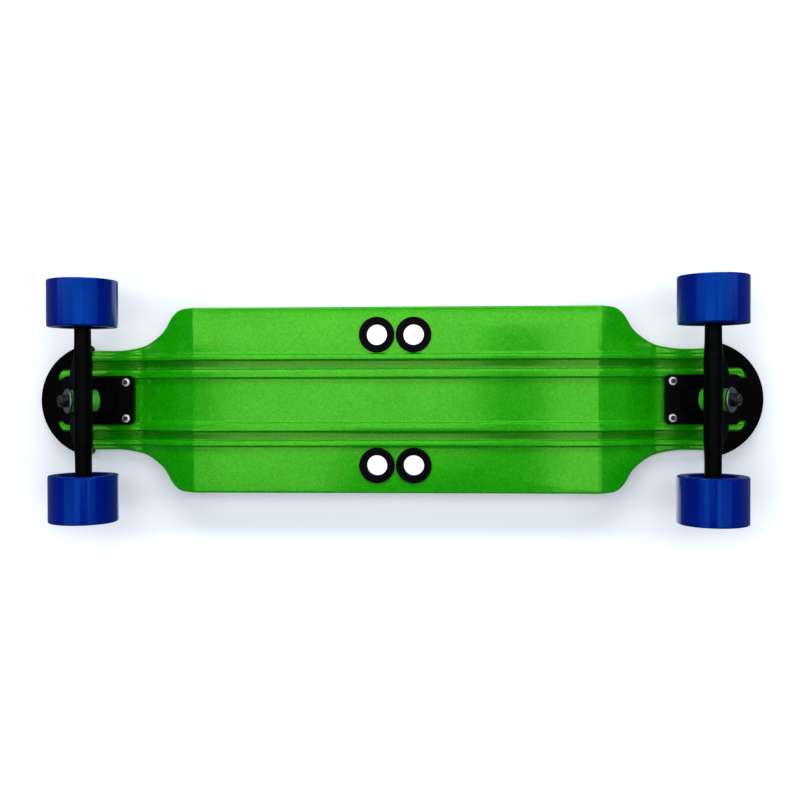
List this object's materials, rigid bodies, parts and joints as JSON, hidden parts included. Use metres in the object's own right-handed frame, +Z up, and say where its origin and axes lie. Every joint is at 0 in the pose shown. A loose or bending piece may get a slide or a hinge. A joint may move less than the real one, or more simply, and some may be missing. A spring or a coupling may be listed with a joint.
{
  "type": "longboard skateboard",
  "caption": "Drop-deck longboard with ribbed underside, ringed through-holes, end guards, reverse-kingpin trucks and free-rolling urethane wheels.",
  "frame": {"origin": "middle of the board on the ground under the wheels", "axes": "+X along the board to the front truck, +Y to the board's left, +Z up, wheels standing on Z = 0"},
  "size_m": [0.823, 0.263, 0.1125],
  "materials": {
    "deck_paint": "metallic green lacquer over a moulded composite deck",
    "grip": "coarse abrasive grit",
    "black_rubber": "moulded satin black",
    "truck_paint": "cast aluminium, satin black powder coat",
    "wheel_urethane": "glossy cast urethane",
    "bushing_urethane": "smooth cast urethane",
    "steel": "zinc plated",
    "black_steel": "black oxide",
    "cup_plastic": "moulded polyurethane"
  },
  "bodies": {
    "deck": {"deck": "deck_paint", "grip_tape": "grip", "grommet_front_left": "black_rubber", "grommet_front_right": "black_rubber", "grommet_rear_left": "black_rubber", "grommet_rear_right": "black_rubber", "nose_guard": "black_rubber", "tail_guard": "black_rubber", "front_baseplate": "truck_paint", "front_riser_pad": "black_rubber", "front_pivot_cup": "cup_plastic", "front_kingpin": "black_steel", "front_bushing_board": "bushing_urethane", "front_bushing_road": "bushing_urethane", "front_cup_washer": "steel", "front_kingpin_nut": "steel", "front_bolt_1": "black_steel", "front_bolt_nut_1": "steel", "front_bolt_2": "black_steel", "front_bolt_nut_2": "steel", "front_bolt_3": "black_steel", "front_bolt_nut_3": "steel", "front_bolt_4": "black_steel", "front_bolt_nut_4": "steel", "rear_baseplate": "truck_paint", "rear_riser_pad": "black_rubber", "rear_pivot_cup": "cup_plastic", "rear_kingpin": "black_steel", "rear_bushing_board": "bushing_urethane", "rear_bushing_road": "bushing_urethane", "rear_cup_washer": "steel", "rear_kingpin_nut": "steel", "rear_bolt_1": "black_steel", "rear_bolt_nut_1": "steel", "rear_bolt_2": "black_steel", "rear_bolt_nut_2": "steel", "rear_bolt_3": "black_steel", "rear_bolt_nut_3": "steel", "rear_bolt_4": "black_steel", "rear_bolt_nut_4": "steel"},
    "front_hanger": {"front_hanger": "truck_paint", "front_axle": "steel", "front_left_axle_nut": "steel", "front_right_axle_nut": "steel"},
    "front_left_wheel": {"front_left_wheel": "wheel_urethane", "front_left_bearing_inner": "steel", "front_left_bearing_outer": "steel"},
    "front_right_wheel": {"front_right_wheel": "wheel_urethane", "front_right_bearing_inner": "steel", "front_right_bearing_outer": "steel"},
    "rear_hanger": {"rear_hanger": "truck_paint", "rear_axle": "steel", "rear_left_axle_nut": "steel", "rear_right_axle_nut": "steel"},
    "rear_left_wheel": {"rear_left_wheel": "wheel_urethane", "rear_left_bearing_inner": "steel", "rear_left_bearing_outer": "steel"},
    "rear_right_wheel": {"rear_right_wheel": "wheel_urethane", "rear_right_bearing_inner": "steel", "rear_right_bearing_outer": "steel"}
  },
  "joints": [
    {"name": "front_steer", "type": "hinge", "parent": "deck", "child": "front_hanger", "pos_m": [0.3518, 0, 0.068], "axis": [0.687, 0, 0.7267], "range_deg": [-15, 15], "stiffness_Nm_per_rad": 60, "deforming": ["front_bushing_board", "front_bushing_road"]},
    {"name": "front_left_spin", "type": "hinge", "parent": "front_hanger", "child": "front_left_wheel", "pos_m": [0.3394, 0.106, 0.0375], "axis": [0, 1, 0], "continuous": true},
    {"name": "front_right_spin", "type": "hinge", "parent": "front_hanger", "child": "front_right_wheel", "pos_m": [0.3394, -0.106, 0.0375], "axis": [0, 1, 0], "continuous": true},
    {"name": "rear_steer", "type": "hinge", "parent": "deck", "child": "rear_hanger", "pos_m": [-0.3518, 0, 0.068], "axis": [-0.687, 0, 0.7267], "range_deg": [-15, 15], "stiffness_Nm_per_rad": 60, "deforming": ["rear_bushing_board", "rear_bushing_road"]},
    {"name": "rear_left_spin", "type": "hinge", "parent": "rear_hanger", "child": "rear_left_wheel", "pos_m": [-0.3394, 0.106, 0.0375], "axis": [0, 1, 0], "continuous": true},
    {"name": "rear_right_spin", "type": "hinge", "parent": "rear_hanger", "child": "rear_right_wheel", "pos_m": [-0.3394, -0.106, 0.0375], "axis": [0, 1, 0], "continuous": true}
  ]
}
